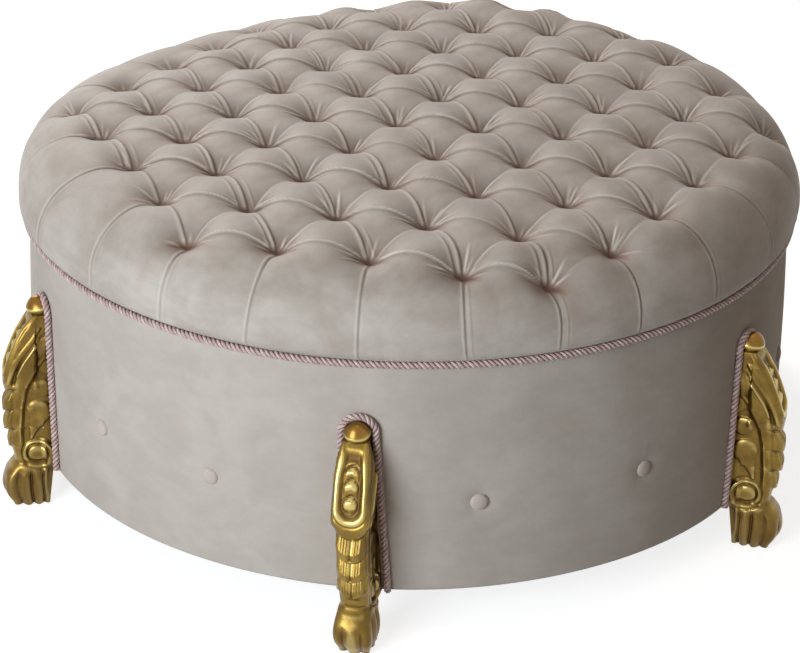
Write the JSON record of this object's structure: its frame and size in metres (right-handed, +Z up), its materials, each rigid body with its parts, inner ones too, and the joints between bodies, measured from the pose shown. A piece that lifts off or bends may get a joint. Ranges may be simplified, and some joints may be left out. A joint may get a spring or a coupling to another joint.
{
  "type": "round upholstered stool",
  "caption": "Large round upholstered stool: a deep-buttoned velvet seat on a padded velvet drum with rope trims, covered buttons and carved gilt bracket legs.",
  "frame": {"origin": "on the floor under the drum's axis", "axes": "+Z up; -Y out to the front, towards the leg that the picture shows at the front; +X to the viewer's right"},
  "size_m": [0.9924, 1.1124, 0.4578],
  "materials": {
    "seat_velvet": "blush velvet with a strong nap",
    "wall_velvet": "champagne velvet",
    "button_velvet": "velvet-covered buttons",
    "rope": "pink and cream twisted cord",
    "gilt": "carved wood, gilded and antiqued with brown in its recesses",
    "foam": "upholstery foam, not seen",
    "padding": "fibre wadding, not seen",
    "plywood": "birch plywood, not seen",
    "post_wood": "softwood posts, not seen",
    "panel": "bent thin plywood, not seen",
    "dust_cloth": "black dust cloth, not seen",
    "twine": "upholstery twine, not seen",
    "steel": "zinc-plated fasteners",
    "brass": "threaded inserts",
    "glide": "dark glides under the feet, not seen"
  },
  "bodies": {
    "root": {"seat_cover": "seat_velvet", "seat_foam": "foam", "tuft_buttons": "seat_velvet", "tuft_twines": "twine", "tuft_washers": "steel", "seat_deck": "plywood", "deck_screws": "steel", "seat_cord": "rope", "top_ring": "plywood", "top_ring_screws": "steel", "bottom_ring": "plywood", "bottom_ring_screws": "steel", "wall_panel": "panel", "wall_padding": "padding", "wall_cover": "wall_velvet", "dust_cover": "dust_cloth", "side_buttons": "button_velvet", "side_button_washers": "steel", "leg_bolts": "steel", "leg_washers": "steel", "leg_inserts": "brass", "foot_glides": "glide", "leg_post_1": "post_wood", "bay_post_1": "post_wood", "leg_1": "gilt", "leg_cord_1": "rope", "leg_post_2": "post_wood", "bay_post_2": "post_wood", "leg_2": "gilt", "leg_cord_2": "rope", "leg_post_3": "post_wood", "bay_post_3": "post_wood", "leg_3": "gilt", "leg_cord_3": "rope", "leg_post_4": "post_wood", "bay_post_4": "post_wood", "leg_4": "gilt", "leg_cord_4": "rope", "leg_post_5": "post_wood", "bay_post_5": "post_wood", "leg_5": "gilt", "leg_cord_5": "rope", "leg_post_6": "post_wood", "bay_post_6": "post_wood", "leg_6": "gilt", "leg_cord_6": "rope"}
  },
  "joints": []
}
